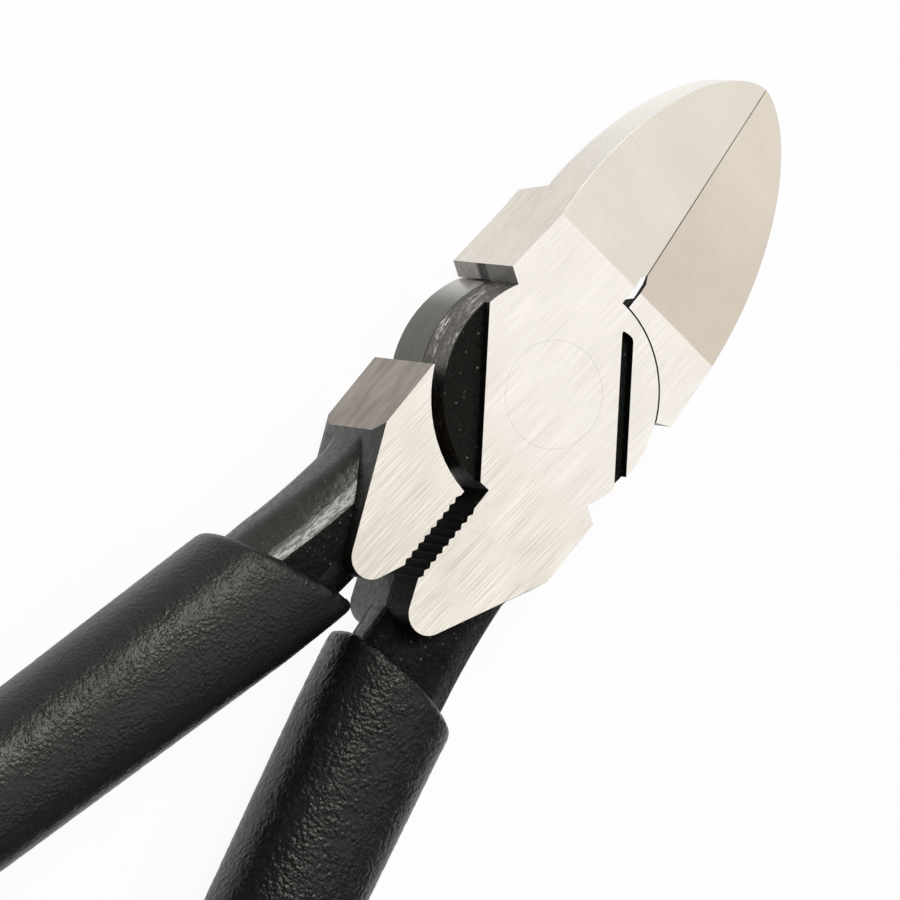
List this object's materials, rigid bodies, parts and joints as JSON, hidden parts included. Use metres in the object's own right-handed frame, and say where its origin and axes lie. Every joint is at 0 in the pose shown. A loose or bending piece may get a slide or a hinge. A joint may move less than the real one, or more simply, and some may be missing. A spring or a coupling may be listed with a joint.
{
  "type": "sprue cutter",
  "caption": "Lap-jointed side cutter for plastics with flush-ground pointed jaws, a riveted pivot, gripping teeth below the joint and bowed handles in grained black sleeves.",
  "frame": {"origin": "on the pivot axis, at the flat back face", "axes": "+Y along the tool towards the jaw tip, +Z out of the front face along the pivot axis, +X to the right seen from the front"},
  "size_m": [0.057, 0.1601, 0.011],
  "materials": {
    "ground_steel": "forged and blackened, with the faces ground and brushed bright",
    "rivet_steel": "ground flush with the faces",
    "sleeve_plastic": "black with a leather grain"
  },
  "bodies": {
    "back_side": {"back_half": "ground_steel", "pivot_rivet": "rivet_steel", "back_handle_sleeve": "sleeve_plastic"},
    "front_side": {"front_half": "ground_steel", "front_handle_sleeve": "sleeve_plastic"}
  },
  "joints": [
    {"name": "pivot", "type": "hinge", "parent": "back_side", "child": "front_side", "pos_m": [0, 0, 0.0055], "axis": [0, 0, 1], "range_deg": [0, 55]}
  ]
}
